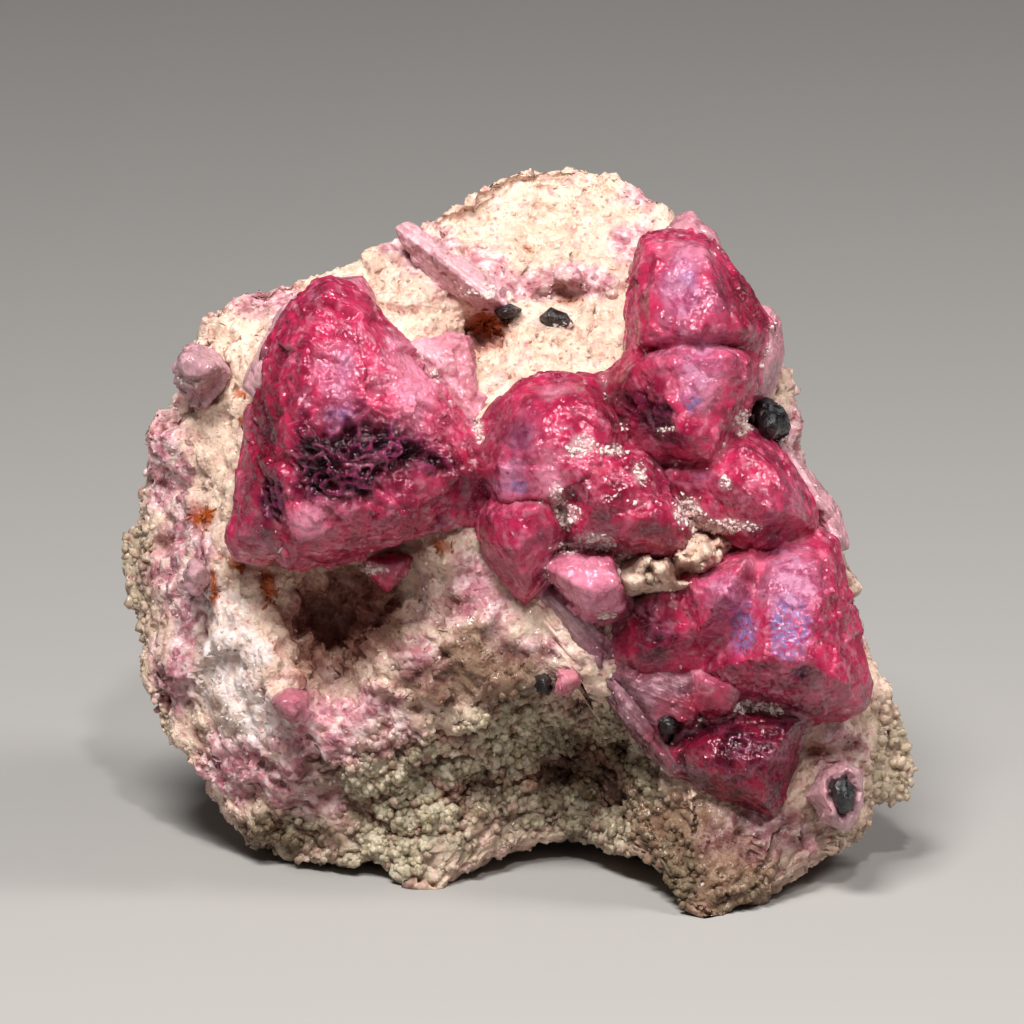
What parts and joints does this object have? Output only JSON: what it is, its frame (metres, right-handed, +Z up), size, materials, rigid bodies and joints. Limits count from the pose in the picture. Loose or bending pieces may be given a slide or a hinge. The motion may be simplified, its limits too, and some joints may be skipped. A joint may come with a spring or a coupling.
{
  "type": "elbaite specimen",
  "caption": "Free-standing mineral specimen: raspberry to lilac mushroom elbaite crystals on a pale, granular feldspar matrix with black schorl grains, standing on its own broken feet.",
  "frame": {"origin": "under the middle of the specimen's bounding box, at the level its feet stand on", "axes": "+Z up, +X to the right and -Y towards the viewer who faces the crystals"},
  "size_m": [0.0796, 0.0494, 0.0663],
  "materials": {
    "feldspar": "granular, matt, cream to pink, sparkling grains",
    "elbaite_raspberry": "translucent, glassy, etched, with violet cores",
    "elbaite_rose": "translucent, waxy to satin, pale rose",
    "elbaite_lilac": "striated, satin, greyish lilac",
    "schorl": "black, glassy, broken faces"
  },
  "bodies": {
    "root": {"matrix": "feldspar", "mushroom_left": "elbaite_raspberry", "mushroom_left_flank": "elbaite_raspberry", "mushroom_middle": "elbaite_raspberry", "mushroom_centre": "elbaite_raspberry", "mushroom_tooth": "elbaite_raspberry", "mushroom_upper_right": "elbaite_raspberry", "mushroom_right": "elbaite_raspberry", "mushroom_lower_right": "elbaite_raspberry", "crystal_bottom": "elbaite_raspberry", "crystal_pale": "elbaite_raspberry", "vug_crystal": "elbaite_raspberry", "ruby_stub": "elbaite_raspberry", "red_stub": "elbaite_raspberry", "rose_chunk": "elbaite_rose", "column_top": "elbaite_rose", "pale_flake": "elbaite_rose", "pale_lobe": "elbaite_rose", "brown_sliver": "elbaite_rose", "cap_right": "elbaite_rose", "fan_right": "elbaite_rose", "edge_blade": "elbaite_rose", "lilac_slab": "elbaite_lilac", "stem_upper": "elbaite_lilac", "stem_lower": "elbaite_lilac", "lilac_knob": "elbaite_lilac", "lilac_stub": "elbaite_lilac", "foot_crystal": "elbaite_lilac", "schorl_stem": "schorl", "schorl_centre": "schorl", "schorl_right": "schorl", "schorl_foot": "schorl", "schorl_top": "schorl", "schorl_hole": "schorl"}
  },
  "joints": []
}
